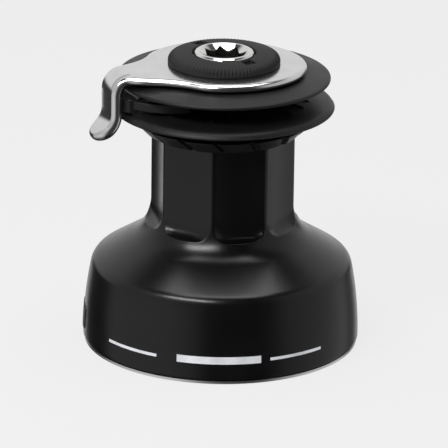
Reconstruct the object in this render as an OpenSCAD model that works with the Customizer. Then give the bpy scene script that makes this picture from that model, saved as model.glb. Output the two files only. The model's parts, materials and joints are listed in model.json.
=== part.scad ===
// Two-speed self-tailing sailboat winch with its gear train, pawls and bearings.
// Millimetres. The origin is on the underside of the base; +Z is the drum's axis.

/* [Base] */
// Radius of the base flange that shows under the skirt
base_r = 73.4; // [73.2:0.1:73.8]
// Thickness of the base plate
base_t = 6; // [5.5:0.1:6.5]
// Pitch circle diameter of the deck bolts
bolt_pcd = 116; // [114:1:118]
// Number of deck bolts
bolt_count = 5; // [5:1:5]
// Radius of a deck bolt hole
bolt_hole_r = 3.3; // [3.1:0.1:3.5]

/* [Drum] */
// Radius of the skirt at its lower rim
skirt_r = 74.1; // [74.1:0.1:74.5]
// Height of the skirt's lower rim above the deck
skirt_z = 2; // [1.8:0.1:2.2]
// Radius of the neck at its ridges
neck_r = 38.5; // [38:0.1:39]
// Distance from the axis to a neck facet
facet_r = 36; // [35.6:0.1:36.4]
// Number of facets round the neck
facets = 8; // [8:1:8]
// Height of the neck's top
neck_top = 117; // [117:0.5:117]

/* [Self-tailer] */
// Rim radius of the lower jaw
lower_jaw_r = 59.3; // [58:0.1:59.6]
// Rim radius of the upper jaw
upper_jaw_r = 56.7; // [56:0.1:58]
// Travel of the lower jaw against its spring
jaw_travel = 3; // [1:0.5:3]
// Number of ribs on each jaw
jaw_ribs = 24; // [12:1:30]
// Radius of the feeder arm's ring
arm_r = 44; // [42:0.5:46]

/* [Drive] */
// Width across the flats of the square winch handle
handle_square = 17.5; // [17.4:0.1:17.6]
// Depth of the handle socket
socket_depth = 22; // [18:1:26]
// Gear module
gear_module = 2; // [2:1:2]

/* [Hidden] */
$fn = 96;
eps = 0.01;

// Finishes
black = [0.07, 0.07, 0.08];
dark = [0.2, 0.2, 0.22];
cast = [0.78, 0.78, 0.8];
steel = [0.6, 0.61, 0.63];
bronze = [0.72, 0.55, 0.28];
resin = [0.85, 0.83, 0.75];

// Gear teeth: counts
n_ring = 54;
n_first = 26;
n_second = 18;
n_cluster_big = 22;
n_pinion = 14;
n_idler = 12;

// Gear levels: each is [bottom, top]
level_second = [8, 16];
level_first = [18, 25];
level_ring = [28, 36];
idler_top = 34;
pinion_bottom = 27;

// Gear centres
cluster_x = gear_module * (n_second + n_cluster_big) / 2;
idler_x = gear_module * (n_first + n_idler) / 2;
pinion_x = gear_module * (n_ring - n_pinion) / 2;
idler_pinion = gear_module * (n_idler + n_pinion) / 2;
cluster_az = 90;
idler_az = 205;
pinion_az = idler_az + acos(
  (idler_x * idler_x + pinion_x * pinion_x - idler_pinion * idler_pinion)
  / (2 * idler_x * pinion_x)
);
cluster_at = polar(cluster_x, cluster_az);
idler_at = polar(idler_x, idler_az);
pinion_at = polar(pinion_x, pinion_az);

// Tooth form
pressure = 20;
addendum = 1.4;
dedendum = 1.8;
backlash = 0.12;

// Tooth phases, so that every pair is in mesh at rest
cluster_phase = internal_phase(cluster_az, n_pinion);
pinion_phase = internal_phase(pinion_az, n_pinion);
to_idler = atan2(idler_at[1] - pinion_at[1], idler_at[0] - pinion_at[0]);
idler_phase = mesh_phase(to_idler, pinion_phase, n_pinion, n_idler);
first_phase = mesh_phase(idler_az + 180, idler_phase, n_idler, n_first);
second_phase = mesh_phase(cluster_az + 180, cluster_phase, n_cluster_big, n_second);

// Pins and posts
cluster_pin_r = 5;
idler_pin_r = 4;
pinion_pin_r = 4.5;
pin_bottom = 2;
pin_top = 40.5;
post_az = [12, 160, 310];
post_x = 38;
post_r = 6.5;
stem_screw_r = 2.95;
stem_screw_head = 4.8;

// Stem
case_r = 33;
case_bore = 28.6;
flange_z = [37, 42];
flange_r = 47.5;
stem_r = 24;
stem_bore = 16;
arm_z = 149.8;
arm_t = 4.4;
arm_seat_r = 21;
thread_r = 19;
stem_top = 157.2;
cap_ring_r = 0.95;
ring_groove_top = 156.2;
fit = 0.05;

// Spindle and pawls
pawl_disc_r = 11.1;
journal_r = 6;
shaft_r = 9;
spindle_r = 13.95;
spindle_lip_r = 15.9;
spindle_lip_z = 157.8;
spindle_top = 160.6;
star_turn = 11.1;
socket_lead = 3.4;
pawl_pivot = 8.2;
pawl_pin_r = 1.9;
crest_r = 11.5;
valley_r = 12.9;
ratchet_first = 13;
ratchet_second = 14;
pawl_gap_first = 6 * 360 / ratchet_first;
first_pawl_z = [18.8, 24.2];
second_pawl_z = [8.8, 15.2];

// Bearings
roller_r = 2.8;
roller_ring = 27;
rollers = 12;
lower_bearing_z = 50;
upper_bearing_z = 100;
bearing_h = 16;
drum_bore = 30;

// Self-tailer levels
lifter_top = 124;
lifter_teeth = 15;
lifter_turn = -119.2;
jaw_bottom = lifter_top + jaw_travel + 0.5;
jaw_gap_low = 137.5;
jaw_gap_high = 141.5;
hub_r = 29.4;
hub_top = 145;
rib_h = 0.6;
lip_r = 4.6;
lip_z = 129.5;
jaw_screw_x = 27.2;
jaw_screws_n = 5;

// Feeder arm leg
leg_az = 190;
leg_angle = 19;
leg_in = 60.3;
leg_out = 65.7;

// Rope stripper: a block on the leg and a blade reaching into the jaws
stripper_az = 193;
stripper_r = 60.2;
stripper_low = jaw_gap_low - 2.7;
stripper_high = stripper_low + 7.6;
blade_low = jaw_gap_low - 0.7;
blade_h = 5;
stripper_screw_az = [197, 204];
stripper_screw_z = 138.3;
stripper_hole_r = 1.6;
stripper_head_r = 2.3;

function polar(r, a) = [r * cos(a), r * sin(a)];
function arc(c, r, a0, a1, n) =
  [for (i = [0:n]) [c[0] + r * cos(a0 + (a1 - a0) * i / n), c[1] + r * sin(a0 + (a1 - a0) * i / n)]];
function inv_deg(a) = tan(a) * 180 / PI - a;
function tooth_half(n, r, gap) =
  90 / n - gap / (gear_module * n / 2) * 180 / PI + inv_deg(pressure)
  - inv_deg(acos(min(1, gear_module * n / 2 * cos(pressure) / r)));
function tooth_radii(n, low, high) =
  let (first = max(low + 0.2, gear_module * n / 2 * cos(pressure)))
  concat([low], [for (i = [0:3]) first + (high - first) * i / 3]);
function tooth_side(n, low, high, gap, at, side) =
  [for (r = tooth_radii(n, low, high)) polar(r, at + side * tooth_half(n, r, gap))];
function reversed(list) = [for (i = [len(list) - 1:-1:0]) list[i]];
function tooth_points(n, low, high, gap, at) =
  concat(tooth_side(n, low, high, gap, at, -1), reversed(tooth_side(n, low, high, gap, at, 1)));
function internal_phase(az, n) = az - az * n_ring / n;
function mesh_phase(az, phase, n1, n2) = az + 180 - 180 / n2 + (az - phase) * n1 / n2;
function flat_list(lists) = [for (l = lists) for (p = l) p];

// Outline of an external gear, or of the hole in an internal one.
module gear_outline(n, low, high, gap, phase) {
  polygon(flat_list([for (i = [0:n - 1]) tooth_points(n, low, high, gap, phase + i * 360 / n)]));
}

module spur_gear(n, z, phase) {
  pitch = gear_module * n / 2;
  translate([0, 0, z[0]])
    linear_extrude(z[1] - z[0])
      gear_outline(n, pitch - dedendum, pitch + addendum, backlash, phase);
}

module rod(r, z0, z1) {
  translate([0, 0, z0]) cylinder(r = r, h = z1 - z0);
}

module tube(r_out, r_in, z0, z1) {
  difference() {
    rod(r_out, z0, z1);
    rod(r_in, z0 - 1, z1 + 1);
  }
}

// Sawtooth hole of an internal ratchet; side is 1 or -1 for its driving direction.
module ratchet_hole(teeth, side, z) {
  pitch = 360 / teeth;
  foot = 35.5 - pitch;
  points = flat_list([for (i = [0:teeth - 1]) [
    polar(crest_r, foot + i * pitch),
    polar(valley_r, 28.3 + i * pitch),
    polar(valley_r, 29.7 + i * pitch)
  ]]);
  translate([0, 0, z[0] - 1])
    linear_extrude(z[1] - z[0] + 2)
      scale([1, side]) polygon(points);
}

// One pawl, tucked in, with its pivot on +X; side mirrors it.
module pawl(side, z) {
  translate([0, 0, z[0]])
    linear_extrude(z[1] - z[0])
      scale([1, side]) {
        translate([pawl_pivot, 0]) circle(r = pawl_pin_r);
        translate([pawl_pivot, 0])
          polygon([[1.6, 0], [1.6, 3.2], [0.8, 6.4], [-0.9, 6.4], [-1.8, 0]]);
      }
}

module pawl_pocket(side, z) {
  translate([0, 0, z[0] - 0.2])
    linear_extrude(z[1] - z[0] + 0.4)
      scale([1, side]) {
        translate([pawl_pivot, 0]) circle(r = pawl_pin_r + 0.15);
        translate([pawl_pivot - 2.2, 0]) square([7, 6.9]);
        translate([pawl_pivot - 1, -2]) square([7, 4]);
      }
}

module pawl_spring(side, z) {
  translate([0, 0, z[0] + 1])
    linear_extrude(z[1] - z[0] - 2)
      scale([1, side]) translate([pawl_pivot - 2.15, 2]) square([0.35, 3.6]);
}

module base_plate() color(cast)
  difference() {
    union() {
      rod(base_r, 0, 1.4);
      rod(70, 1.4, base_t);
      tube(15.5, 11.5, base_t - eps, 7.8);
      translate(cluster_at) rod(8, base_t - eps, 7.8);
      translate(idler_at) rod(8, base_t - eps, 17.8);
      translate(pinion_at) rod(8, base_t - eps, 26.8);
    }
    rod(8, 1, 9);
    translate(cluster_at) rod(cluster_pin_r, pin_bottom, 30);
    translate(idler_at) rod(idler_pin_r, pin_bottom, 30);
    translate(pinion_at) rod(pinion_pin_r, pin_bottom, 30);
    for (a = post_az) translate(polar(post_x, a)) rod(3, 2.2, 9);
    for (i = [0:bolt_count - 1]) translate(polar(bolt_pcd / 2, 54 + i * 360 / bolt_count)) {
      rod(bolt_hole_r, -1, 9);
      rod(6.2, 4.4, 9);
    }
  }

module stem() color(cast)
  difference() {
    union() {
      rod(case_r, base_t, flange_z[0] + eps);
      rod(flange_r, flange_z[0], flange_z[1]);
      for (a = post_az) translate(polar(post_x, a)) rod(post_r, base_t, flange_z[1]);
      rod(stem_r, flange_z[1] - eps, arm_z);
      rod(arm_seat_r, arm_z - eps, arm_z + arm_t);
      rod(thread_r, arm_z, stem_top);
    }
    rod(case_bore, base_t - 1, flange_z[0] - 0.2);
    rod(stem_bore, flange_z[0] - 1, stem_top + 1);
    translate(cluster_at) rod(24.4, base_t - 1, 17.5);
    translate(cluster_at) rod(16.2, 17, flange_z[0] - 0.2);
    translate(cluster_at) rod(cluster_pin_r, 30, pin_top);
    translate(idler_at) rod(14.4, base_t - 1, flange_z[0] - 0.2);
    translate(idler_at) rod(idler_pin_r, 30, pin_top);
    translate(pinion_at) rod(16.2, base_t - 1, flange_z[0] - 0.2);
    translate(pinion_at) rod(pinion_pin_r, 30, pin_top);
    for (a = post_az) translate(polar(post_x, a)) {
      rod(3.1, base_t - 1, 50);
      rod(5, 38, 50);
    }
  }

module stem_screws() color(steel)
  for (a = post_az) translate(polar(post_x, a)) difference() {
    union() {
      rod(stem_screw_r, 2.5, 38.2);
      rod(stem_screw_head, 38.1, 41.8);
    }
    translate([0, 0, 39.5]) cylinder(r = 2.9, h = 5, $fn = 6);
  }

module gear_pins() color(steel) {
  translate(cluster_at) rod(cluster_pin_r, pin_bottom, pin_top);
  translate(idler_at) rod(idler_pin_r, pin_bottom, pin_top);
  translate(pinion_at) rod(pinion_pin_r, pin_bottom, pin_top);
}

module lower_spindle_bush() color(bronze) tube(8, journal_r + fit, 1.2, 7.7);

module upper_spindle_bush() color(bronze) tube(stem_bore, spindle_r + fit, 130, 156);

module bearing_spacer() color(resin)
  tube(28.8, stem_r, lower_bearing_z + bearing_h + 0.5, upper_bearing_z - 0.5);

module drum_thrust_washer() color(bronze) tube(34, stem_r, flange_z[1], 44);

module arm_plan() {
  difference() {
    union() {
      translate([0, -1]) scale([1, 0.92]) circle(r = arm_r);
      polygon([[0, -41], [-30, -33], [-56.2, -31.6], [-65.2, -11.6], [-51.5, -3.4], [-40.5, 9], [-30, 27]]);
    }
    circle(r = arm_seat_r);
  }
}

// Cross-section of the arm's leg: a plate that hangs outside the jaws and flares at the foot.
module leg_section() {
  polygon(concat(
    [[leg_in, arm_z + eps], [leg_in, 121.6]],
    arc([leg_in + 2, 121.6], 2, 180, 270, 4),
    arc([71.2, 121.4], 1.8, 270, 450, 6),
    arc([leg_out + 4.6, 127.8], 4.6, 270, 180, 5),
    [[leg_out, arm_z + eps]]
  ));
}

module feeder_arm() color(cast)
  difference() {
    union() {
      translate([0, 0, arm_z]) linear_extrude(arm_t) arm_plan();
      rotate([0, 0, leg_az]) rotate_extrude(angle = leg_angle) leg_section();
    }
    stripper_screw_holes(stripper_hole_r, stripper_head_r);
  }

module stripper_screw_holes(r, head) {
  for (a = stripper_screw_az) rotate([0, 0, a]) translate([0, 0, stripper_screw_z]) rotate([0, 90, 0]) {
    rod(r, 54, 70);
    rod(head, leg_out - 1.8, 70);
  }
}

module stripper_screws() color(steel)
  for (a = stripper_screw_az) rotate([0, 0, a]) translate([0, 0, stripper_screw_z]) rotate([0, 90, 0]) {
    rod(1.5, 55, leg_out - 1.7);
    rod(2.2, leg_out - 1.7, leg_out - 0.7);
  }

module rope_stripper() color(black)
  difference() {
    union() {
      translate([0, 0, stripper_low]) linear_extrude(stripper_high - stripper_low)
        polygon([
          polar(stripper_r, stripper_az), polar(stripper_r, stripper_az + 15),
          polar(57, 213), polar(52.5, 214), polar(53, stripper_az)
        ]);
      translate([0, 0, blade_low]) linear_extrude(blade_h)
        polygon([
          polar(57, 210), polar(55.6, 218), polar(50, 228), polar(43, 240), polar(40, 244),
          polar(38.6, 244), polar(41, 236), polar(45, 226), polar(49, 216), polar(52.6, 208)
        ]);
    }
    stripper_screw_holes(stripper_hole_r, stripper_head_r);
  }

module top_cap() color(black)
  difference() {
    rotate_extrude()
      polygon(concat(
        [[16.6, arm_z + arm_t], [29.6, arm_z + arm_t], [29.9, 155]],
        arc([26.2, 155.4], 3.6, 0, 74, 6),
        [[18.4, 159.9], [17.4, 159.2], [16.6, 158.8]]
      ));
    rod(thread_r + fit, 150, stem_top + 0.3);
    rotate_extrude() translate([22.8, 150]) square([2.4, ring_groove_top - 150]);
    for (a = [-52, 128]) rotate([0, 0, a]) translate([21, 0, 158]) cube([6, 7, 5], center = true);
  }

module cap_o_ring() color(dark)
  translate([0, 0, (arm_z + arm_t + ring_groove_top) / 2])
    rotate_extrude() translate([24, 0]) circle(r = cap_ring_r, $fn = 32);

// Outer and inner outline of the drum, from the skirt's rim up to the neck.
function skirt_radius(h) = skirt_r - 0.0025 * h * h;
drum_outside = concat(
  [for (h = [0:8:40]) [skirt_radius(h), skirt_z + h]],
  arc([62.3, skirt_z + 38.1], 8, 11.3, 58.4, 4),
  arc([neck_r + 23, skirt_z + 75], 23, 238.4, 180, 9),
  [[neck_r, neck_top], [34, neck_top], [34, lifter_top]]
);
drum_inside = [
  [drum_bore, lifter_top], [drum_bore, 44.3], [34.5, 44.3], [34.5, 60], [58, 45], [58, 36.2],
  [61, 36.2], [61, 26.5], [64.5, 26.5], [64.5, 41], [67, 38], [71, 8], [71.3, skirt_z]
];

module drum_shell() color(black)
  difference() {
    rotate_extrude() polygon(concat(drum_outside, drum_inside));
    for (i = [0:facets - 1]) rotate([0, 0, -99.5 + (i + 0.5) * 360 / facets])
      translate([facet_r, -16, skirt_z + 62]) cube([20, 32, neck_top - skirt_z - 60]);
  }

module ring_gear() color(steel)
  translate([0, 0, level_ring[0]]) linear_extrude(level_ring[1] - level_ring[0])
    difference() {
      circle(r = 61);
      gear_outline(n_ring, n_ring * gear_module / 2 - addendum,
        n_ring * gear_module / 2 + dedendum, -backlash, 0);
    }

module line_lifter() color(black)
  difference() {
    rotate_extrude()
      polygon([[34, neck_top], [41, neck_top], [41.6, 117.6], [47.5, 123.2], [47, lifter_top], [34, lifter_top]]);
    for (i = [0:lifter_teeth - 1]) rotate([0, 0, lifter_turn + i * 360 / lifter_teeth])
      translate([38.5, 0, neck_top - 1])
      rotate([-28, 0, 0]) cube([14, 1.6, 12]);
  }

module hub_ribs(r, z0, z1) {
  for (i = [0:23]) rotate([0, 0, i * 15]) translate([hub_r - 1, -0.8, z0]) cube([r - hub_r + 1, 1.6, z1 - z0]);
}

module jaw_hub() color(black)
  difference() {
    union() {
      tube(drum_bore, stem_r + 1, 117, lifter_top + 0.1);
      tube(hub_r, stem_r + 1, lifter_top, hub_top);
      intersection() {
        hub_ribs(32, lifter_top + 0.2, hub_top);
        tube(30.6, hub_r - 0.5, lifter_top, hub_top);
      }
    }
    for (i = [0:jaw_screws_n - 1]) rotate([0, 0, i * 72]) translate([jaw_screw_x, 0, 0]) rod(1.5, 136, 150);
  }

module upper_jaw() color(black)
  difference() {
    union() {
      rotate_extrude()
        polygon(concat(
          [[stem_r + 1, hub_top], [31, hub_top], [31.2, jaw_gap_high], [upper_jaw_r - 1, 145.6]],
          arc([upper_jaw_r - 1.1, 146.7], 1.1, 270, 450, 5),
          [[40, 149.3], [stem_r + 1, 149.3]]
        ));
      intersection() {
        for (i = [0:jaw_ribs - 1]) rotate([0, 0, i * 360 / jaw_ribs]) translate([32, -0.7, 138]) cube([16, 1.4, 10]);
        rotate_extrude()
          polygon([[32, jaw_gap_high + 0.1 - rib_h], [48, 144 - rib_h], [48, 146], [32, 146]]);
      }
    }
    for (i = [0:jaw_screws_n - 1]) rotate([0, 0, i * 72]) translate([jaw_screw_x, 0, 0]) {
      rod(1.6, 140, 152);
      rod(3.1, 147.4, 152);
    }
  }

module jaw_screws() color(steel)
  for (i = [0:jaw_screws_n - 1]) rotate([0, 0, i * 72]) translate([jaw_screw_x, 0, 0]) {
    rod(1.45, 136.5, 147.5);
    rod(2.2, 147.4, 149.1);
  }

// Section of the lower jaw: ribbed on top, hollow below for its spring.
module lower_jaw() color(black)
  difference() {
    union() {
      rotate_extrude()
        polygon(concat(
          [[31, jaw_bottom], [47, jaw_bottom], [54, lip_z], [lower_jaw_r - 0.9, lip_z]],
          arc([lower_jaw_r - lip_r, lip_z], lip_r, 12, 78, 6),
          [[31.2, jaw_gap_low], [31, jaw_gap_low]]
        ));
      intersection() {
        for (i = [0:jaw_ribs - 1]) rotate([0, 0, (i + 0.5) * 360 / jaw_ribs])
          translate([32, -0.7, 130]) cube([14, 1.4, 10]);
        rotate_extrude()
          polygon([[32, 133], [46, 133], [46, 134.2 + rib_h], [32, jaw_gap_low - 0.1 + rib_h]]);
      }
      difference() {
        rod(31.1, jaw_bottom, jaw_gap_low);
        rod(hub_r + 0.25, 120, 140);
        intersection() {
          for (i = [0:23]) rotate([0, 0, i * 15]) translate([28, -1.1, 120]) cube([4, 2.2, 20]);
          rod(30.8, 120, 140);
        }
      }
    }
    tube(38.5, 32.5, jaw_bottom - 1, jaw_bottom + 0.7);
  }

// Wave spring between the lifter and the lower jaw: one closed ring of quads.
spring_steps = 60;
spring_waves = 5;
function spring_z(a) = (lifter_top + jaw_bottom + 0.5) / 2 + 1.3 * sin(a * spring_waves);
function spring_ring(i) =
  let (a = i * 360 / spring_steps, z = spring_z(a))
  [[33 * cos(a), 33 * sin(a), z - 0.3], [37 * cos(a), 37 * sin(a), z - 0.3],
   [37 * cos(a), 37 * sin(a), z + 0.3], [33 * cos(a), 33 * sin(a), z + 0.3]];

module jaw_spring() color(steel)
  polyhedron(
    points = flat_list([for (i = [0:spring_steps - 1]) spring_ring(i)]),
    faces = [for (i = [0:spring_steps - 1]) for (k = [0:3])
      [4 * i + k, 4 * i + (k + 1) % 4, (4 * (i + 1) + (k + 1) % 4) % (4 * spring_steps),
       (4 * (i + 1) + k) % (4 * spring_steps)]]
  );

module size_badge() color(dark)
  rotate([0, 0, 175]) rotate_extrude(angle = 15)
    polygon([[74.16, 4], [74.75, 4.3], [74.35, 18.7], [73.62, 19]]);

// Two squares set across each other give the eight-point handle socket.
module star_socket() {
  translate([0, 0, spindle_top - socket_depth]) linear_extrude(socket_depth + 1)
    for (a = [0, 45]) rotate([0, 0, star_turn + a]) square(handle_square, center = true);
  translate([0, 0, spindle_top - socket_lead]) cylinder(r1 = 9.2, r2 = 13.4, h = socket_lead + eps);
}

module drive_spindle() color(steel)
  difference() {
    rotate_extrude()
      polygon(concat(
        [[0, 1.5], [journal_r, 1.5], [journal_r, 8], [pawl_disc_r, 8], [pawl_disc_r, 16],
         [10.6, 16.1], [10.6, 17.7], [pawl_disc_r, 17.8], [pawl_disc_r, 25.2], [shaft_r, 25.2],
         [shaft_r, 26.2], [8.3, 26.2], [8.3, 27.4], [shaft_r, 27.4], [shaft_r, 120],
         [spindle_r, 126], [spindle_r, spindle_lip_z], [spindle_lip_r, spindle_lip_z]],
        arc([spindle_lip_r - 1.6, spindle_top - 1.6], 1.6, 0, 90, 5),
        [[0, spindle_top]]
      ));
    star_socket();
    for (a = [0, pawl_gap_first]) rotate([0, 0, a]) pawl_pocket(-1, first_pawl_z);
    for (a = [0, 180]) rotate([0, 0, a]) pawl_pocket(1, second_pawl_z);
  }

module spindle_retaining_ring() color(steel)
  difference() {
    tube(15.4, 8.4, 26.3, 27.3);
    translate([12, 0, 26]) cube([14, 3, 4], center = true);
  }

module gear_thrust_washer() color(bronze) tube(15.4, 11.2, 16.2, 17.8);

module pawl_springs() color(steel) {
  for (a = [0, pawl_gap_first]) rotate([0, 0, a]) pawl_spring(-1, first_pawl_z);
  for (a = [0, 180]) rotate([0, 0, a]) pawl_spring(1, second_pawl_z);
}

module first_speed_gear() color(bronze)
  difference() {
    spur_gear(n_first, level_first, first_phase);
    ratchet_hole(ratchet_first, -1, level_first);
  }

module second_speed_gear() color(bronze)
  difference() {
    spur_gear(n_second, level_second, second_phase);
    ratchet_hole(ratchet_second, 1, level_second);
  }

module cluster_gear() color(steel)
  translate(cluster_at) difference() {
    union() {
      spur_gear(n_cluster_big, level_second, cluster_phase);
      rod(10.5, level_second[1] - eps, level_ring[0] + eps);
      spur_gear(n_pinion, level_ring, cluster_phase);
    }
    rod(cluster_pin_r + fit, 5, 40);
  }

module idler_gear() color(steel)
  translate(idler_at) difference() {
    spur_gear(n_idler, [level_first[0], idler_top], idler_phase);
    rod(idler_pin_r + fit, 5, 40);
  }

module drum_pinion() color(steel)
  translate(pinion_at) difference() {
    spur_gear(n_pinion, [pinion_bottom, level_ring[1]], pinion_phase);
    rod(pinion_pin_r + fit, 5, 40);
  }

module first_speed_pawl_a() color(dark) pawl(-1, first_pawl_z);

module first_speed_pawl_b() color(dark) rotate([0, 0, pawl_gap_first]) pawl(-1, first_pawl_z);

module second_speed_pawl_a() color(dark) pawl(1, second_pawl_z);

module second_speed_pawl_b() color(dark) rotate([0, 0, 180]) pawl(1, second_pawl_z);

module bearing_cage(z) {
  difference() {
    tube(29, 25, z, z + bearing_h);
    for (i = [0:rollers - 1]) rotate([0, 0, i * 360 / rollers])
      translate([roller_ring, 0, 0]) rod(roller_r + 0.25, z + 2, z + bearing_h - 2);
  }
}

module bearing_rollers(z) {
  for (i = [0:rollers - 1]) rotate([0, 0, i * 360 / rollers])
    translate([roller_ring, 0, 0]) rod(roller_r, z + 2.2, z + bearing_h - 2.2);
}

module lower_bearing_cage() color(resin) bearing_cage(lower_bearing_z);

module lower_bearing_rollers() color(steel) bearing_rollers(lower_bearing_z);

module upper_bearing_cage() color(resin) bearing_cage(upper_bearing_z);

module upper_bearing_rollers() color(steel) bearing_rollers(upper_bearing_z);

base_plate();
stem();
stem_screws();
gear_pins();
lower_spindle_bush();
upper_spindle_bush();
bearing_spacer();
drum_thrust_washer();
feeder_arm();
rope_stripper();
stripper_screws();
top_cap();
cap_o_ring();
drum_shell();
ring_gear();
line_lifter();
jaw_hub();
upper_jaw();
jaw_screws();
jaw_spring();
size_badge();
lower_jaw();
drive_spindle();
spindle_retaining_ring();
gear_thrust_washer();
pawl_springs();
first_speed_gear();
second_speed_gear();
cluster_gear();
idler_gear();
drum_pinion();
first_speed_pawl_a();
first_speed_pawl_b();
second_speed_pawl_a();
second_speed_pawl_b();
lower_bearing_cage();
lower_bearing_rollers();
upper_bearing_cage();
upper_bearing_rollers();
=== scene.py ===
"""Looks of the self-tailing winch.

Camera, light and materials, and the detailed pieces that ride on the CAD frame. The pieces are measured in
millimetres and degrees, and every profile is a list of (radius, height). Camera, lights, floor and the
depths of the bumps are in metres.
"""
import json
import math

import bpy
import numpy as np
from mathutils import Matrix, Vector


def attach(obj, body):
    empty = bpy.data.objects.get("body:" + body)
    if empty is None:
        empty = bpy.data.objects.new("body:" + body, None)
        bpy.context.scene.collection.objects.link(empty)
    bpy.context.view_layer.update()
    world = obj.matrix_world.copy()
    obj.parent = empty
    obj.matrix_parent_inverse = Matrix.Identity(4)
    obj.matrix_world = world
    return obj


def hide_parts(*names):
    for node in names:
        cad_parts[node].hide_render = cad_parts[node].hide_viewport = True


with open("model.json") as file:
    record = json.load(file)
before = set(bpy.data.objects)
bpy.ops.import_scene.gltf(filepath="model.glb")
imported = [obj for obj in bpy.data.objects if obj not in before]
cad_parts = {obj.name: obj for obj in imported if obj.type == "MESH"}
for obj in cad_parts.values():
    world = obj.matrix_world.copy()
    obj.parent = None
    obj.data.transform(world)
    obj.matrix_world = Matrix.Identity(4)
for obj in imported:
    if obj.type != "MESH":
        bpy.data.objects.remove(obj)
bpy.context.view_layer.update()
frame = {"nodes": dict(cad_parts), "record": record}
MM = 0.001
TAU = 2 * math.pi

# ---------------------------------------------------------------- camera and stage

CAMERA_DISTANCE = 2.513  # metres
CAMERA_ELEVATION = math.radians(20.92)
CAMERA_ROLL = math.radians(0.78)
CAMERA_YAW = math.radians(0.026)
CAMERA_TILT = math.radians(1.315)
CAMERA_LENS = 373.65
AIM_Z = 0.002  # metres


def make_camera():
    """A long lens in front of the winch, looking a little down on it."""
    cos_e, sin_e = math.cos(CAMERA_ELEVATION), math.sin(CAMERA_ELEVATION)
    stand = Vector((0, -CAMERA_DISTANCE * cos_e, CAMERA_DISTANCE * sin_e))
    forward = -stand.normalized()
    right = Vector((1, 0, 0))
    up = right.cross(forward)
    forward, right = (
        forward * math.cos(CAMERA_YAW) + right * math.sin(CAMERA_YAW),
        right * math.cos(CAMERA_YAW) - forward * math.sin(CAMERA_YAW),
    )
    forward, up = (
        forward * math.cos(CAMERA_TILT) + up * math.sin(CAMERA_TILT),
        up * math.cos(CAMERA_TILT) - forward * math.sin(CAMERA_TILT),
    )
    right, up = (
        right * math.cos(CAMERA_ROLL) + up * math.sin(CAMERA_ROLL),
        up * math.cos(CAMERA_ROLL) - right * math.sin(CAMERA_ROLL),
    )
    data = bpy.data.cameras.new("camera")
    data.lens = CAMERA_LENS
    data.sensor_width = 36
    data.clip_end = 20
    camera = bpy.data.objects.new("camera", data)
    turn = Matrix((right, up, -forward)).transposed().to_4x4()
    camera.matrix_world = Matrix.Translation(stand + Vector((0, 0, AIM_Z))) @ turn
    bpy.context.collection.objects.link(camera)
    bpy.context.scene.camera = camera


def area_light(name, place, target, size, power):
    """A soft box at place, facing target; size is (width, height)."""
    data = bpy.data.lights.new(name, "AREA")
    data.shape = "RECTANGLE"
    data.size, data.size_y = size
    data.energy = power
    light = bpy.data.objects.new(name, data)
    light.location = place
    aim = Vector(target) - Vector(place)
    light.rotation_euler = aim.to_track_quat("-Z", "Y").to_euler()
    bpy.context.collection.objects.link(light)


# ---------------------------------------------------------------- node helpers


class Nodes:
    """Short names for building one material's node tree."""

    def __init__(self, name):
        self.material = bpy.data.materials.new(name)
        self.material.use_nodes = True
        self.tree = self.material.node_tree
        self.tree.nodes.clear()
        self.out = self.tree.nodes.new("ShaderNodeOutputMaterial")
        self.shader = self.tree.nodes.new("ShaderNodeBsdfPrincipled")
        self.link(self.shader.outputs[0], self.out.inputs[0])

    def add(self, kind, **values):
        node = self.tree.nodes.new(kind)
        for key, value in values.items():
            setattr(node, key, value)
        return node

    def link(self, source, target):
        self.tree.links.new(source, target)

    def set(self, **values):
        for key, value in values.items():
            self.shader.inputs[key.replace("_", " ")].default_value = value

    def coordinates(self):
        return self.add("ShaderNodeTexCoord").outputs["Object"]

    def noise(self, scale, detail=4, rough=0.5, vector=None):
        node = self.add("ShaderNodeTexNoise")
        node.inputs["Scale"].default_value = scale
        node.inputs["Detail"].default_value = detail
        node.inputs["Roughness"].default_value = rough
        self.link(vector or self.coordinates(), node.inputs["Vector"])
        return node.outputs["Fac"]

    def stretch(self, scale):
        node = self.add("ShaderNodeMapping")
        node.inputs["Scale"].default_value = scale
        self.link(self.coordinates(), node.inputs["Vector"])
        return node.outputs[0]

    def remap(self, value, low, high, to_low, to_high):
        node = self.add("ShaderNodeMapRange")
        node.inputs[1].default_value = low
        node.inputs[2].default_value = high
        node.inputs[3].default_value = to_low
        node.inputs[4].default_value = to_high
        self.link(value, node.inputs[0])
        return node.outputs[0]

    def mix(self, factor, first, second):
        node = self.add("ShaderNodeMix", data_type="RGBA")
        self.link(factor, node.inputs[0])
        for value, socket in ((first, node.inputs[6]), (second, node.inputs[7])):
            if isinstance(value, tuple):
                socket.default_value = (*value, 1)
            else:
                self.link(value, socket)
        return node.outputs[2]

    def math(self, operation, first, second):
        node = self.add("ShaderNodeMath", operation=operation)
        for value, socket in ((first, node.inputs[0]), (second, node.inputs[1])):
            if isinstance(value, (int, float)):
                socket.default_value = value
            else:
                self.link(value, socket)
        return node.outputs[0]

    def bump(self, height, strength, distance):
        node = self.add("ShaderNodeBump")
        node.inputs["Strength"].default_value = strength
        node.inputs["Distance"].default_value = distance
        self.link(height, node.inputs["Height"])
        return node.outputs[0]


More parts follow.
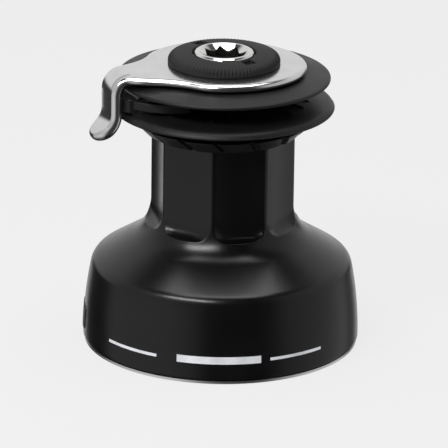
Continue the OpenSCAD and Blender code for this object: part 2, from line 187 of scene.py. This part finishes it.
def anodised_black():
    """Satin black anodised aluminium, fine blasted grain under the dye."""
    n = Nodes("anodised black")
    grain = n.noise(5200, 3, 0.6)
    cloud = n.noise(26, 3, 0.5)
    scuff = n.noise(140, 6, 0.7)
    tone = n.mix(n.remap(cloud, 0.35, 0.7, 0, 1), (0.0024, 0.0024, 0.0026), (0.0044, 0.0043, 0.0046))
    n.link(tone, n.shader.inputs["Base Color"])
    rough = n.math("ADD", n.remap(cloud, 0.3, 0.7, 0.21, 0.25), n.remap(scuff, 0.4, 0.75, 0, 0.04))
    n.link(rough, n.shader.inputs["Roughness"])
    n.set(Specular_IOR_Level=0.36, IOR=1.5)
    n.link(n.bump(grain, 0.12, 0.00006), n.shader.inputs["Normal"])
    return n.material


def moulded_black(name, colour, rough, grain_size=2600, depth=0.00008, strength=0.35):
    """Glass-filled nylon with a fine moulded grain."""
    n = Nodes(name)
    grain = n.noise(grain_size, 4, 0.65)
    cloud = n.noise(60, 4, 0.55)
    light = tuple(c * 1.45 for c in colour)
    n.link(n.mix(n.remap(cloud, 0.35, 0.7, 0, 1), colour, light), n.shader.inputs["Base Color"])
    n.link(n.remap(cloud, 0.3, 0.7, rough - 0.04, rough + 0.05), n.shader.inputs["Roughness"])
    n.set(Specular_IOR_Level=0.27)
    n.link(n.bump(grain, strength, depth), n.shader.inputs["Normal"])
    return n.material


def metal(name, colour, rough, grain=(900, 900, 900), strength=0.1, depth=0.00003, spread=0.06):
    """Machined or cast metal with slight variation in tone and polish."""
    n = Nodes(name)
    fine = n.noise(1.0, 4, 0.6, n.stretch(grain))
    cloud = n.noise(45, 5, 0.6)
    dark = tuple(c * 0.86 for c in colour)
    n.link(n.mix(n.remap(cloud, 0.3, 0.7, 0, 1), dark, colour), n.shader.inputs["Base Color"])
    n.link(n.remap(fine, 0.3, 0.7, rough - spread, rough + spread), n.shader.inputs["Roughness"])
    n.set(Metallic=1.0)
    n.link(n.bump(fine, strength, depth), n.shader.inputs["Normal"])
    return n.material


def pale_floor():
    """A lit table: mostly its own even glow, with a little shading."""
    n = Nodes("pale floor")
    n.set(Roughness=0.9, Specular_IOR_Level=0.0, Emission_Strength=1.0)
    n.set(Base_Color=(0.08, 0.08, 0.08, 1), Emission_Color=(0.775, 0.775, 0.775, 1))
    return n.material


# Brightness of the studio round the winch, by the angle from its front (left is negative):
# one ring for what lies below the table's edge and one for what stands above it.
STUDIO_BELOW = (
    (-180, 0.78), (-157, 0.78), (-150, 0.05), (-114, 0.03), (-102, 0.5), (-45, 0.7), (-24, 0.5),
    (-10, 0.05), (40, 0.04), (60, 0.45), (125, 0.6), (138, 0.12), (152, 0.2), (158, 0.78), (180, 0.78),
)
STUDIO_ABOVE = (
    (-180, 0.78), (-120, 0.75), (-95, 0.5), (-45, 0.6), (-20, 0.3), (-10, 0.05),
    (40, 0.04), (60, 0.45), (110, 0.65), (180, 0.78),
)
# Share of those rings by elevation, up to the dim ceiling, and the step between the two.
STUDIO_RISE = ((-90, 0.1), (-50, 0.3), (-32, 1.0), (40, 1.0), (52, 0.12), (90, 0.05))
STUDIO_EDGE = ((-90, 0.0), (-2, 0.0), (6, 1.0), (90, 1.0))


def studio_world():
    world = bpy.data.worlds.new("studio")
    bpy.context.scene.world = world
    world.use_nodes = True
    tree = world.node_tree
    glow = tree.nodes["Background"]

    def node(kind, inputs=(), **values):
        made = tree.nodes.new(kind)
        for key, value in values.items():
            setattr(made, key, value)
        for socket, value in zip(made.inputs, inputs):
            if isinstance(value, (int, float)):
                socket.default_value = value
            else:
                tree.links.new(value, socket)
        return made

    def table(angle, stops, span):
        share = node("ShaderNodeMapRange", (angle, math.radians(-span), math.radians(span), 0, 1))
        ramp = node("ShaderNodeValToRGB", (share.outputs[0],))
        while len(ramp.color_ramp.elements) < len(stops):
            ramp.color_ramp.elements.new(0.5)
        for element, (degrees, shade) in zip(ramp.color_ramp.elements, stops):
            element.position = (degrees + span) / (2 * span)
            element.color = (shade, shade, shade, 1)
        return ramp.outputs[0]

    look = node("ShaderNodeTexCoord").outputs["Generated"]
    x, y, z = node("ShaderNodeSeparateXYZ", (look,)).outputs[:3]
    front = node("ShaderNodeMath", (y, -1.0), operation="MULTIPLY").outputs[0]
    turn = node("ShaderNodeMath", (x, front), operation="ARCTAN2").outputs[0]
    rise = node("ShaderNodeMath", (z,), operation="ARCSINE").outputs[0]
    below, above = table(turn, STUDIO_BELOW, 180), table(turn, STUDIO_ABOVE, 180)
    lift, edge = table(rise, STUDIO_RISE, 90), table(rise, STUDIO_EDGE, 90)
    more = node("ShaderNodeMath", (above, below), operation="SUBTRACT").outputs[0]
    ring = node("ShaderNodeMath", (more, edge, below), operation="MULTIPLY_ADD").outputs[0]
    level = node("ShaderNodeMath", (ring, lift), operation="MULTIPLY").outputs[0]
    tree.links.new(level, glow.inputs["Strength"])
    glow.inputs["Color"].default_value = (1, 1, 1, 1)


# ---------------------------------------------------------------- mesh helpers


def add_mesh(name, points, faces, material, smooth=35):
    mesh = bpy.data.meshes.new(name)
    mesh.from_pydata([tuple(p) for p in points], [], [tuple(f) for f in faces])
    mesh.materials.append(material)
    mesh.update()
    item = bpy.data.objects.new(name, mesh)
    bpy.context.collection.objects.link(item)
    mesh.shade_smooth()
    if smooth is not None:
        mesh.set_sharp_from_angle(angle=math.radians(smooth))
    return item


def grid_faces(rows, columns):
    """Quads of a grid that closes round both its columns and its rows."""
    faces = []
    for i in range(rows):
        low, high = i * columns, ((i + 1) % rows) * columns
        for j in range(columns):
            k = (j + 1) % columns
            faces.append((low + j, low + k, high + k, high + j))
    return faces


def revolve(name, profile, material, steps=256, wobble=None, smooth=35):
    """Turns a closed profile round Z; wobble may change each point by its angle."""
    points = []
    for r, z in profile:
        for j in range(steps):
            a = TAU * j / steps
            rr, zz = wobble(r, z, a) if wobble else (r, z)
            points.append((rr * MM * math.cos(a), rr * MM * math.sin(a), zz * MM))
    faces = grid_faces(len(profile), steps)
    return add_mesh(name, points, faces, material, smooth)


def arc(cx, cy, r, start, end, steps):
    """Points of an arc in degrees, as a profile's (radius, height)."""
    return [
        (
            cx + r * math.cos(math.radians(start + (end - start) * i / steps)),
            cy + r * math.sin(math.radians(start + (end - start) * i / steps)),
        )
        for i in range(steps + 1)
    ]


def line(first, last, steps):
    """Points along a straight stretch, without its last one."""
    return [
        (first[0] + (last[0] - first[0]) * i / steps, first[1] + (last[1] - first[1]) * i / steps)
        for i in range(steps)
    ]


def place(piece, body, slot, *nodes):
    """Puts a piece on its body, in place of the CAD nodes it shows. The slot argument is not used."""
    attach(piece, body)
    if nodes:
        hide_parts(*nodes)
    return piece


# ---------------------------------------------------------------- drum

SKIRT_R, SKIRT_Z, SKIRT_H = 74.1, 2.0, 40.0
SKIRT_CURVE = 0.0025
# Round shoulder between skirt and cone: its middle, radius and the directions where it starts and ends.
SHOULDER_MID, SHOULDER_R = (62.3, SKIRT_Z + 38.1), 8.0
SHOULDER_START, CONE_FACING = 11.3, 58.4
NECK_R, NECK_TOP, NECK_BORE = 38.5, 117.0, 34.0
# Hollow sweep from the cone up to the neck.
SWEEP_R, SWEEP_Z = 23.0, SKIRT_Z + 75
DRUM_BORE, BORE_TOP = 30.0, 124.0
# Inside of the drum, downwards: bore, ledge, gear room, seat of the ring gear, skirt.
DRUM_INSIDE = (
    (NECK_BORE, NECK_TOP), (NECK_BORE, BORE_TOP), (DRUM_BORE + 0.4, BORE_TOP), (DRUM_BORE, BORE_TOP - 0.4),
    (DRUM_BORE, 44.3), (34.5, 44.3), (34.5, 60), (58, 45), (58, 36.2), (61, 36.2), (61, 26.5),
    (64.5, 26.5), (64.5, 41), (67, 38), (71, 8), (71.3, SKIRT_Z), (73.4, SKIRT_Z), (73.9, SKIRT_Z + 0.25),
)
# Flutes of the neck: how many and where, the flat's distance and hollowing, and their round lower ends.
FACETS, FACET_CENTRE = 8, -165.5
FACET_R, FACET_HOLLOW = 35.1, 95.0
FLUTE_END, FLUTE_BALL, FLUTE_HALF = 66.3, 7.0, 14.8
FLUTE_CORNER, FLUTE_LIFT = 8.0, 5.0
FLUTE_SOFT = 0.5


def skirt_radius(z):
    return SKIRT_R - SKIRT_CURVE * (z - SKIRT_Z) ** 2


def soft_min(a, b, k):
    """The smaller of two radii, with the corner where they cross rounded over k."""
    h = max(k - abs(a - b), 0) / k
    return min(a, b) - h * h * k / 4


def flute_radius(z, angle):
    """Radius of the scooped flute at a height, or None below its round end."""
    pitch = 360 / FACETS
    phi = (math.degrees(angle) - FACET_CENTRE + pitch / 2) % pitch - pitch / 2
    u = FACET_R * math.tan(math.radians(phi))
    depth = FACET_R + u * u / (2 * FACET_HOLLOW)
    side = min(max(abs(u) - (FLUTE_HALF - FLUTE_CORNER), 0) / FLUTE_CORNER, 1)
    inside = z - FLUTE_END - FLUTE_LIFT * (1 - math.sqrt(1 - side * side))
    if inside < 0:
        return None
    if inside < FLUTE_BALL:
        depth += FLUTE_BALL - math.sqrt(FLUTE_BALL**2 - (FLUTE_BALL - inside) ** 2)
    return math.hypot(depth, u)


def drum_wobble(r, z, angle):
    if z < FLUTE_END or r < FACET_R - 0.1:
        return r, z
    cut = flute_radius(z, angle)
    return (r if cut is None else soft_min(r, cut, FLUTE_SOFT)), z


def make_drum(material):
    sweep_mid, sweep_start = NECK_R + SWEEP_R, CONE_FACING + 180
    outer = [(skirt_radius(z), z) for z in np.arange(SKIRT_Z + 0.8, SKIRT_Z + SKIRT_H, 1.6)]
    outer += arc(*SHOULDER_MID, SHOULDER_R, SHOULDER_START, CONE_FACING, 14)
    outer += line(outer[-1], arc(sweep_mid, SWEEP_Z, SWEEP_R, sweep_start, 180, 64)[0], 10)[1:]
    outer += arc(sweep_mid, SWEEP_Z, SWEEP_R, sweep_start, 180, 64)
    outer += line(outer[-1], (NECK_R, NECK_TOP - 0.6), 14)[1:]
    outer += [(NECK_R, NECK_TOP - 0.6), (NECK_R - 0.4, NECK_TOP), (36.2, NECK_TOP)]
    profile = outer + list(DRUM_INSIDE)
    drum = revolve("turned_drum", profile, material, steps=8 * 72, wobble=drum_wobble, smooth=40)
    return place(drum, "drum", "drum_black", "drum_shell")


def skirt_patch(name, material, start, end, low, high, lift, sink=0.3, corner=0.0):
    """A thin patch that lies on the skirt between two azimuths and two heights."""
    columns = max(int((end - start) * 2), 8)
    rows = 10
    points, faces = [], []
    for layer in (lift, -sink):
        for i in range(rows + 1):
            z = low + (high - low) * i / rows
            for j in range(columns + 1):
                t = j / columns
                inset = 0.0
                edge = min(z - low, high - z)
                if corner and edge < corner:
                    inset = (corner - math.sqrt(corner**2 - (corner - edge) ** 2)) / SKIRT_R
                a = math.radians(start) + inset + (math.radians(end - start) - 2 * inset) * t
                r = skirt_radius(z) + layer
                points.append((r * MM * math.cos(a), r * MM * math.sin(a), z * MM))
    row, layer_size = columns + 1, (rows + 1) * (columns + 1)
    for i in range(rows):
        for j in range(columns):
            a, b = i * row + j, (i + 1) * row + j
            faces.append((a, a + 1, b + 1, b))
            faces.append((layer_size + b, layer_size + b + 1, layer_size + a + 1, layer_size + a))
    rim = list(range(columns)) + [i * row + columns for i in range(rows)]
    rim += [rows * row + j for j in range(columns, 0, -1)] + [i * row for i in range(rows, 0, -1)]
    for k, a in enumerate(rim):
        b = rim[(k + 1) % len(rim)]
        faces.append((b, a, layer_size + a, layer_size + b))
    return add_mesh(name, points, faces, material, 40)


# ---------------------------------------------------------------- jaws and lifter


def ribs_at(angle, count, half_width_deg, soft_deg, shift=0.0):
    """1 on a rib, 0 between ribs, with soft sides."""
    pitch = 360 / count
    off = abs((math.degrees(angle) + shift + pitch / 2) % pitch - pitch / 2)
    t = min(max((half_width_deg + soft_deg - off) / soft_deg, 0), 1)
    return t * t * (3 - 2 * t)


def fade(x, low, high):
    """Goes smoothly from 0 at low to 1 at high."""
    t = min(max((x - low) / (high - low), 0), 1)
    return t * t * (3 - 2 * t)


# Ribs of both jaws: how many, half their width and their soft sides in degrees.
JAW_RIBS, RIB_HALF, RIB_SIDE = 24, 0.95, 0.35
# Lower jaw: underside with the spring's seat, slope out to the edge, edge, lip and the groove's floor.
LOWER_UNDER = ((31, 127.5), (32.4, 127.5), (32.6, 128.2), (38.3, 128.2), (38.5, 127.5), (46.5, 127.5))
LOWER_SLOPE = ((46.5, 127.5), (54, 129.5), (58.2, 129.6))
LOWER_EDGE_MID, LOWER_EDGE_R = (58.2, 130.5), 0.9
LOWER_LIP_MID, LOWER_LIP_R = (54.5, 128.9), 4.6
LOWER_FLOOR = ((55.46, 133.4), (50, 134.4), (31.4, 137.5), (31, 137.3))
LOWER_RIB_Z, LOWER_RIB_H = 131.9, 0.62
# Upper jaw: foot on the hub, roof of the groove, lip and top.
UPPER_FOOT = ((25, 145.02), (30.9, 145.02), (31, 141.8))
UPPER_ROOF = ((31.4, 141.55), (47, 143.95), (55.3, 145.3))
UPPER_LIP_MID, UPPER_LIP_R = (55.65, 146.35), 1.05
UPPER_TOP = ((55.87, 147.4), (46.5, 148.95), (44, 149.15), (25, 149.3))
UPPER_RIB_H = 0.6


def make_lower_jaw(material):
    floor = line(*LOWER_FLOOR[:2], 8)[1:] + line(*LOWER_FLOOR[1:3], 24) + [LOWER_FLOOR[3]]
    outer = list(LOWER_UNDER) + line(*LOWER_SLOPE[:2], 4)[1:] + line(*LOWER_SLOPE[1:], 4)
    outer += arc(*LOWER_EDGE_MID, LOWER_EDGE_R, 270, 350, 8) + arc(*LOWER_LIP_MID, LOWER_LIP_R, 20, 78, 14)

    def wobble(r, z, a):
        if z > LOWER_RIB_Z:
            rib = ribs_at(a, JAW_RIBS, RIB_HALF, RIB_SIDE, 180 / JAW_RIBS)
            return r, z + LOWER_RIB_H * rib * fade(r, 31.3, 32.2) * (1 - fade(r, 44.5, 46.5))
        return r, z

    jaw = revolve("ribbed_lower_jaw", outer + floor, material, steps=24 * 40, wobble=wobble, smooth=32)
    return place(jaw, "lower_jaw", "jaw_plastic", "lower_jaw")


def make_upper_jaw(material):
    under = list(UPPER_FOOT) + line(*UPPER_ROOF[:2], 20) + line(*UPPER_ROOF[1:], 8)
    lip = arc(*UPPER_LIP_MID, UPPER_LIP_R, 262, 438, 14)
    top = line(*UPPER_TOP[:2], 8)[1:] + list(UPPER_TOP[1:])

    def wobble(r, z, a):
        if 31.2 < r < 50 and z < 145.2:
            rib = ribs_at(a, JAW_RIBS, RIB_HALF, RIB_SIDE)
            return r, z - UPPER_RIB_H * rib * fade(r, 31.5, 32.4) * (1 - fade(r, 46, 48))
        return r, z

    jaw = revolve("ribbed_upper_jaw", under + lip + top, material, steps=24 * 40, wobble=wobble, smooth=32)
    return place(jaw, "drum", "jaw_plastic", "upper_jaw")


LIFTER_TEETH = 15
LIFTER_BOTTOM, LIFTER_RIM, LIFTER_TOP = 117.0, 123.2, 123.98
# Radius of the teeth at their foot, how much they flare in each millimetre up, and the notches' depth.
LIFTER_FOOT, LIFTER_FLARE, LIFTER_DEPTH = 41.2, 1.0, 4.0
LIFTER_CORE = 38.7
# Where the first tooth starts, and how far the teeth lean over in each millimetre down.
LIFTER_TURN, LIFTER_LEAN = 119.2, 0.9
# Shares of a tooth's pitch that its sloping front and its steep back take.
TOOTH_FRONT, TOOTH_BACK = 0.2, 0.03


def make_lifter(material):
    heights = np.linspace(LIFTER_BOTTOM + 0.3, LIFTER_RIM, 26)
    outer = [(NECK_BORE, LIFTER_BOTTOM + 0.02), (38.4, LIFTER_BOTTOM + 0.02), (40.8, LIFTER_BOTTOM + 0.06)]
    outer += [(LIFTER_FOOT + LIFTER_FLARE * (z - LIFTER_BOTTOM), z) for z in heights]
    outer += [(47.4, LIFTER_RIM + 0.5), (46.6, LIFTER_TOP), (NECK_BORE, LIFTER_TOP)]

    def wobble(r, z, a):
        if r < LIFTER_CORE + 0.4:
            return r, z
        pitch = 360 / LIFTER_TEETH
        along = ((math.degrees(a) + LIFTER_TURN - LIFTER_LEAN * (123 - z)) % pitch) / pitch
        tooth = min(along / TOOTH_FRONT, 1.0) * min((1 - along) / TOOTH_BACK, 1.0)
        tooth *= 1 - 0.25 * max(along - TOOTH_FRONT, 0)
        depth = min(LIFTER_DEPTH, r - LIFTER_CORE)
        return r - depth * (1 - tooth), z

    lifter = revolve("toothed_lifter", outer, material, steps=15 * 64, wobble=wobble, smooth=30)
    return place(lifter, "drum", "lifter_plastic", "line_lifter")


# ---------------------------------------------------------------- feeder arm

# Ring: its plate, its oval, the azimuths where waist and rear meet it, and the hole that seats on the stem.
ARM_MID, ARM_T = 152.0, 4.4
RING_R, RING_DEPTH, RING_Y, SEAT_R = 44.0, 41.0, -0.5, 21.05
RING_START, RING_END = -104, 155
WAIST = ((-22.5, -34.6), (-33, -32.4), (-44, -31.4))
REAR = ((-52.3, -4.2), (-44.0, 5.4))
# Distances along the leg where waist and rear meet its sides, and the ones they head for.
WAIST_JOIN, WAIST_AIM = 60, 66
REAR_JOIN, REAR_AIM, REAR_FLARE = 61, 68, 0.5
OUTLINE_POINTS, OUTLINE_SMOOTHING = 900, 40
# Leg: its line over the ground, half its width, its bends and the turned-out foot.
LEG_AZ = math.radians(199.5)
LEG_D = (math.cos(LEG_AZ), math.sin(LEG_AZ))
LEG_E = (-math.sin(LEG_AZ), math.cos(LEG_AZ))
LEG_HALF = 10.5
EDGE_ROUND = 2.7
LEG_MID_R = 62.9
BEND_R, FOOT_R = 8.4, 13.0
BEND_START = LEG_MID_R - BEND_R
LEG_STRAIGHT = 10.0
FOOT_TURN = math.radians(55)
FOOT_TIP, TIP_CORNER = 6.4, 9.5
# How much thicker each side of the leg is than the ring, and the radius that curls it round the jaws.
LEG_THICKER, LEG_CURL_R = 0.8, 64.0
LEG_END = BEND_START + BEND_R * math.pi / 2 + LEG_STRAIGHT + FOOT_R * FOOT_TURN + FOOT_TIP


def leg_path(s):
    """Middle of the arm's metal at a distance s along the leg's line: radius, height, slope."""
    if s <= BEND_START:
        return s, ARM_MID, 0.0
    s -= BEND_START
    quarter = BEND_R * math.pi / 2
    if s < quarter:
        t = s / BEND_R
        return BEND_START + BEND_R * math.sin(t), ARM_MID - BEND_R * (1 - math.cos(t)), t
    s -= quarter
    z = ARM_MID - BEND_R
    if s < LEG_STRAIGHT:
        return LEG_MID_R, z - s, math.pi / 2
    s -= LEG_STRAIGHT
    z -= LEG_STRAIGHT
    t = min(s / FOOT_R, FOOT_TURN)
    r, z = LEG_MID_R + FOOT_R * (1 - math.cos(t)), z - FOOT_R * math.sin(t)
    rest = max(s - FOOT_R * FOOT_TURN, 0)
    slope = math.pi / 2 - t
    return r + rest * math.cos(slope), z - rest * math.sin(slope), slope


def to_leg(x, y):
    """Distance along the leg's line and sideways from it."""
    return x * LEG_D[0] + y * LEG_D[1], x * LEG_E[0] + y * LEG_E[1]


def from_leg(s, b):
    """The point at a distance along the leg's line and sideways from it."""
    return s * LEG_D[0] + b * LEG_E[0], s * LEG_D[1] + b * LEG_E[1]


def smooth_curve(points, steps):
    """A Catmull-Rom curve through the points, without its last one."""
    out = []
    for i in range(1, len(points) - 2):
        p = [np.array(q, float) for q in points[i - 1 : i + 3]]
        for k in range(steps):
            t = k / steps
            out.append(
                0.5
                * (
                    2 * p[1]
                    + (p[2] - p[0]) * t
                    + (2 * p[0] - 5 * p[1] + 4 * p[2] - p[3]) * t**2
                    + (3 * p[1] - p[0] - 3 * p[2] + p[3]) * t**3
                )
            )
    return out


def even(points, count):
    """Resamples a closed outline to evenly spaced points."""
    p = np.array(points + [points[0]])
    step = np.hypot(*np.diff(p, axis=0).T)
    at = np.concatenate([[0], np.cumsum(step)])
    want = np.linspace(0, at[-1], count, endpoint=False)
    return np.stack([np.interp(want, at, p[:, 0]), np.interp(want, at, p[:, 1])], axis=1)


def soften(values, times):
    """Averages each row of a closed line with its neighbours."""
    for _ in range(times):
        values = (np.roll(values, 1, axis=0) + 2 * values + np.roll(values, -1, axis=0)) / 4
    return values


def arm_outline():
    """The arm's outline laid out flat: ring, waist in front, leg, and the straight edge behind."""
    ring = [
        (RING_R * math.cos(math.radians(a)), RING_Y + RING_DEPTH * math.sin(math.radians(a)))
        for a in np.linspace(RING_START, RING_END, 100)
    ]
    straight_end = LEG_END - TIP_CORNER

    def corner(side, start, end):
        middle = side * (LEG_HALF - TIP_CORNER)
        return [
            from_leg(straight_end + TIP_CORNER * math.cos(t), middle + TIP_CORNER * math.sin(t))
            for t in np.linspace(start, end, 10)
        ]

    tip = corner(1, math.pi / 2, 0) + corner(-1, 0, -math.pi / 2)
    waist = [ring[1], ring[0], *WAIST, from_leg(WAIST_JOIN, LEG_HALF), from_leg(WAIST_AIM, LEG_HALF)]
    rear = [from_leg(REAR_AIM, -LEG_HALF), from_leg(REAR_JOIN, -LEG_HALF - REAR_FLARE), *REAR]
    rear += [ring[-1], ring[-2]]
    outline = ring[::-1] + [tuple(p) for p in smooth_curve(waist, 14)[1:]]
    outline += [from_leg(straight_end, LEG_HALF)] + tip + [from_leg(straight_end, -LEG_HALF)]
    outline += [tuple(p) for p in smooth_curve(rear, 14)]
    return soften(even(outline[::-1], OUTLINE_POINTS), OUTLINE_SMOOTHING)


def make_arm(material):
    outline = arm_outline()
    ahead, behind = np.roll(outline, -1, axis=0), np.roll(outline, 1, axis=0)
    tangent = ahead - behind
    tangent /= np.hypot(*tangent.T)[:, None]
    inward = soften(np.stack([-tangent[:, 1], tangent[:, 0]], axis=1), 12)
    angle = np.arctan2(outline[:, 1], outline[:, 0])
    hole = SEAT_R * np.stack([np.cos(angle), np.sin(angle)], axis=1)
    steps = 84
    rings = []
    half = ARM_T / 2

    def ring(share, inset, height):
        edge = outline + inward * inset
        rings.append((hole + (edge - hole) * share, height))

    for i in range(steps):
        ring(i / steps, EDGE_ROUND, -1.0)
    for t in np.linspace(-90, 90, 15):
        c, s = math.cos(math.radians(t)), math.sin(math.radians(t))
        ring(1.0, EDGE_ROUND * (1 - abs(c)), s)
    for i in range(steps - 1, -1, -1):
        ring(i / steps, EDGE_ROUND, 1.0)
    points = []
    for flat, height in rings:
        for x, y in flat:
            s, b = to_leg(x, y)
            r, z, slope = leg_path(s)
            thick = half + LEG_THICKER * fade(s, BEND_START - 2, BEND_START + 12)
            curl = b * b / (2 * LEG_CURL_R) * fade(s, 50, BEND_START + 10)
            r += height * thick * math.sin(slope) - curl
            z += height * thick * math.cos(slope)
            px, py = from_leg(r, b)
            points.append((px * MM, py * MM, z * MM))
    faces = grid_faces(len(rings), len(outline))
    arm = add_mesh("cast_arm", points, faces, material, 50)
    return place(arm, "frame", "arm_metal", "feeder_arm")


# ---------------------------------------------------------------- stripper, cap, spindle


def prism(name, outline, low, high, material, bevel=0.6):
    """An upright prism with rounded edges; outline is a list of (x, y), anticlockwise."""
    count = len(outline)
    points = [(x * MM, y * MM, z * MM) for z in (low, high) for x, y in outline]
    faces = [tuple(range(count))[::-1], tuple(range(count, 2 * count))]
    faces += [(i, (i + 1) % count, count + (i + 1) % count, count + i) for i in range(count)]
    piece = add_mesh(name, points, faces, material, None)
    edge = piece.modifiers.new("edge", "BEVEL")
    edge.width = bevel * MM
    edge.segments = 3
    edge.limit_method = "ANGLE"
    edge.harden_normals = True
    return piece


def polar(r, a):
    """A point at a radius and an azimuth in degrees."""
    return r * math.cos(math.radians(a)), r * math.sin(math.radians(a))


# Heights of the stripper's block, behind the leg, and of its blade, between the jaws.
BLOCK_LOW, BLOCK_HIGH = 134.8, 142.4
BLADE_LOW, BLADE_HIGH = 136.8, 141.8


def make_stripper(material):
    block = [polar(60.1, a) for a in (193, 197, 201, 205, 208)]
    block += [polar(58.2, 212), polar(53.8, 214), polar(52.6, 208), polar(52.8, 200), polar(53.4, 193)]
    first = prism("stripper_block", block, BLOCK_LOW, BLOCK_HIGH, material, 0.8)
    outer = [polar(57.6 - 17.6 * t**1.25, 208 + 36 * t) for t in np.linspace(0, 1, 14)]
    inner = [polar(38.5 + 15.2 * t**1.1, 243.5 - 34 * t) for t in np.linspace(0, 1, 14)]
    second = prism("stripper_blade", outer + inner, BLADE_LOW, BLADE_HIGH, material, 0.7)
    place(first, "frame", "stripper_plastic", "rope_stripper")
    place(second, "frame", "stripper_plastic", "rope_stripper")


# Cap: outside from its foot up to the round shoulder, then the top and the lip round the spindle.
CAP_FOOT = ((19.1, 154.25), (22.8, 154.25), (29.4, 154.25), (29.75, 154.5))
CAP_WALL = ((29.85, 154.8), (29.85, 155.6))
CAP_SHOULDER_MID, CAP_SHOULDER_R = (26.35, 155.45), 3.5
CAP_TOP = ((25.2, 159.1), (23, 159.4), (20, 159.7), (18.3, 159.8))
CAP_LIP_MID, CAP_LIP_R = (17.7, 159.1), 0.7
CAP_BORE = ((16.7, 158.2), (16.7, 157.5), (19.1, 157.5))
CAP_KNURLS, KNURL_DEPTH = 90, 0.46
# Pin slots: radius and azimuths of their middles, half their length and width, and their floor.
SLOT_R, SLOT_AZIMUTHS = 21.1, (-52, 128)
SLOT_HALF_LENGTH, SLOT_HALF_WIDTH, SLOT_FLOOR = 3.0, 3.5, 157.7


def make_cap(material):
    profile = list(CAP_FOOT) + line(*CAP_WALL, 3)
    profile += arc(*CAP_SHOULDER_MID, CAP_SHOULDER_R, 2, 78, 22) + list(CAP_TOP)
    profile += arc(*CAP_LIP_MID, CAP_LIP_R, 80, 180, 6) + list(CAP_BORE)

    def wobble(r, z, a):
        on = fade(z, 155.6, 156.2) * (1 - fade(z, 158.55, 159.15)) * fade(r, 26, 26.8)
        wave = 0.5 - 0.5 * math.cos(CAP_KNURLS * a)
        cut = KNURL_DEPTH * on * (1 - wave**0.6)
        return r - cut * 0.8, z - cut * 0.55

    cap = revolve("knurled_cap", profile, material, steps=CAP_KNURLS * 14, wobble=wobble, smooth=45)
    half = (SLOT_HALF_LENGTH, SLOT_HALF_WIDTH)
    slot = [(sx * half[0], sy * half[1]) for sx, sy in ((-1, -1), (1, -1), (1, 1), (-1, 1))]
    for i, azimuth in enumerate(SLOT_AZIMUTHS):
        x, y = polar(SLOT_R, azimuth)
        cutter = prism(f"pin_slot_{i}", slot, SLOT_FLOOR, SLOT_FLOOR + 5.3, material, 0.45)
        cutter.location = (x * MM, y * MM, 0)
        cutter.rotation_euler = (0, 0, math.radians(azimuth))
        cut = cap.modifiers.new(f"pin_slot_{i}", "BOOLEAN")
        cut.object = cutter
        cut.operation = "DIFFERENCE"
        bpy.context.view_layer.objects.active = cap
        bpy.ops.object.modifier_apply(modifier=cut.name)
        bpy.data.objects.remove(cutter)
    return place(cap, "frame", "cap_plastic", "top_cap")


# ---------------------------------------------------------------- the winch

# Plain bars on the skirt, and the blank badge: from and to azimuth, from and to height.
MARKS = (
    ("mark_left", -143, -117, 12.0, 13.6),
    ("mark_centre", -108, -73, 11.2, 15.2),
    ("mark_right", -69, -44, 12.0, 13.6),
)
BADGE_SPAN = (175, 190, 6.5, 19)
FLOOR_HALF = 6  # metres

make_camera()
black = anodised_black()
jaw_black = moulded_black("jaw nylon", (0.007, 0.007, 0.0073), 0.42)
cap_black = moulded_black("cap nylon", (0.007, 0.007, 0.0073), 0.6, 2100, 0.00016, 0.6)
stripper_black = moulded_black("stripper nylon", (0.008, 0.008, 0.008), 0.4)
badge_black = moulded_black("badge plastic", (0.03, 0.03, 0.032), 0.5)
satin_arm = metal("satin cast arm", (0.80, 0.80, 0.80), 0.16, (700, 700, 700), 0.06, 0.00003, 0.03)
chrome = metal("polished spindle", (0.86, 0.85, 0.84), 0.1, (500, 500, 2600), 0.05, 0.00002, 0.04)
steel = metal("machined steel", (0.52, 0.53, 0.55), 0.28, (300, 300, 2600))
bronze = metal("bronze", (0.72, 0.50, 0.26), 0.3, (300, 300, 2600))
cast = metal("satin aluminium", (0.80, 0.80, 0.82), 0.34, (1400, 1400, 1400))
resin = moulded_black("bearing resin", (0.55, 0.52, 0.44), 0.45)
rubber = moulded_black("rubber", (0.015, 0.015, 0.015), 0.75)
mark_grey = moulded_black("mark paint", (0.62, 0.63, 0.66), 0.5, 1800, 0.00002, 0.1)

FINISHES = {
    "cast_base": cast,
    "cast_stem": cast,
    "steel_fastener": steel,
    "steel_pin": steel,
    "bronze": bronze,
    "resin": resin,
    "arm_metal": satin_arm,
    "stripper_plastic": stripper_black,
    "cap_plastic": cap_black,
    "rubber": rubber,
    "drum_black": black,
    "steel_gear": steel,
    "lifter_plastic": jaw_black,
    "jaw_plastic": jaw_black,
    "spring_steel": steel,
    "badge_plastic": badge_black,
    "spindle_chrome": chrome,
    "bronze_gear": bronze,
    "pawl_steel": steel,
    "steel_roller": chrome,
}
slot_of = {s["node"]: s["material_slot"] for s in frame["record"]["subparts"]}
for node, item in frame["nodes"].items():
    for place_in in item.material_slots:
        place_in.material = FINISHES[slot_of[node]]

make_drum(black)
make_lower_jaw(jaw_black)
make_upper_jaw(jaw_black)
make_lifter(jaw_black)
make_arm(satin_arm)
make_stripper(stripper_black)
make_cap(cap_black)
for name, *span in MARKS:
    place(skirt_patch(name, mark_grey, *span, lift=0.03), "drum", "badge_plastic")
badge = skirt_patch("blank_badge", badge_black, *BADGE_SPAN, lift=0.4, sink=0.2, corner=2.0)
place(badge, "drum", "badge_plastic", "size_badge")

half = FLOOR_HALF
corners = [(-half, -half, 0), (half, -half, 0), (half, half, 0), (-half, half, 0)]
floor = add_mesh("floor", corners, [(0, 1, 2, 3)], pale_floor(), None)
floor.visible_glossy = False

area_light("overhead box", (0, 0.05, 1.5), (0, 0.05, 0), (1.25, 0.95), 15)
area_light("front strip", (-0.5, -0.77, 0.95), (0, 0, 0.05), (0.8, 0.18), 9)
studio_world()
bpy.context.scene.view_settings.view_transform = "Standard"
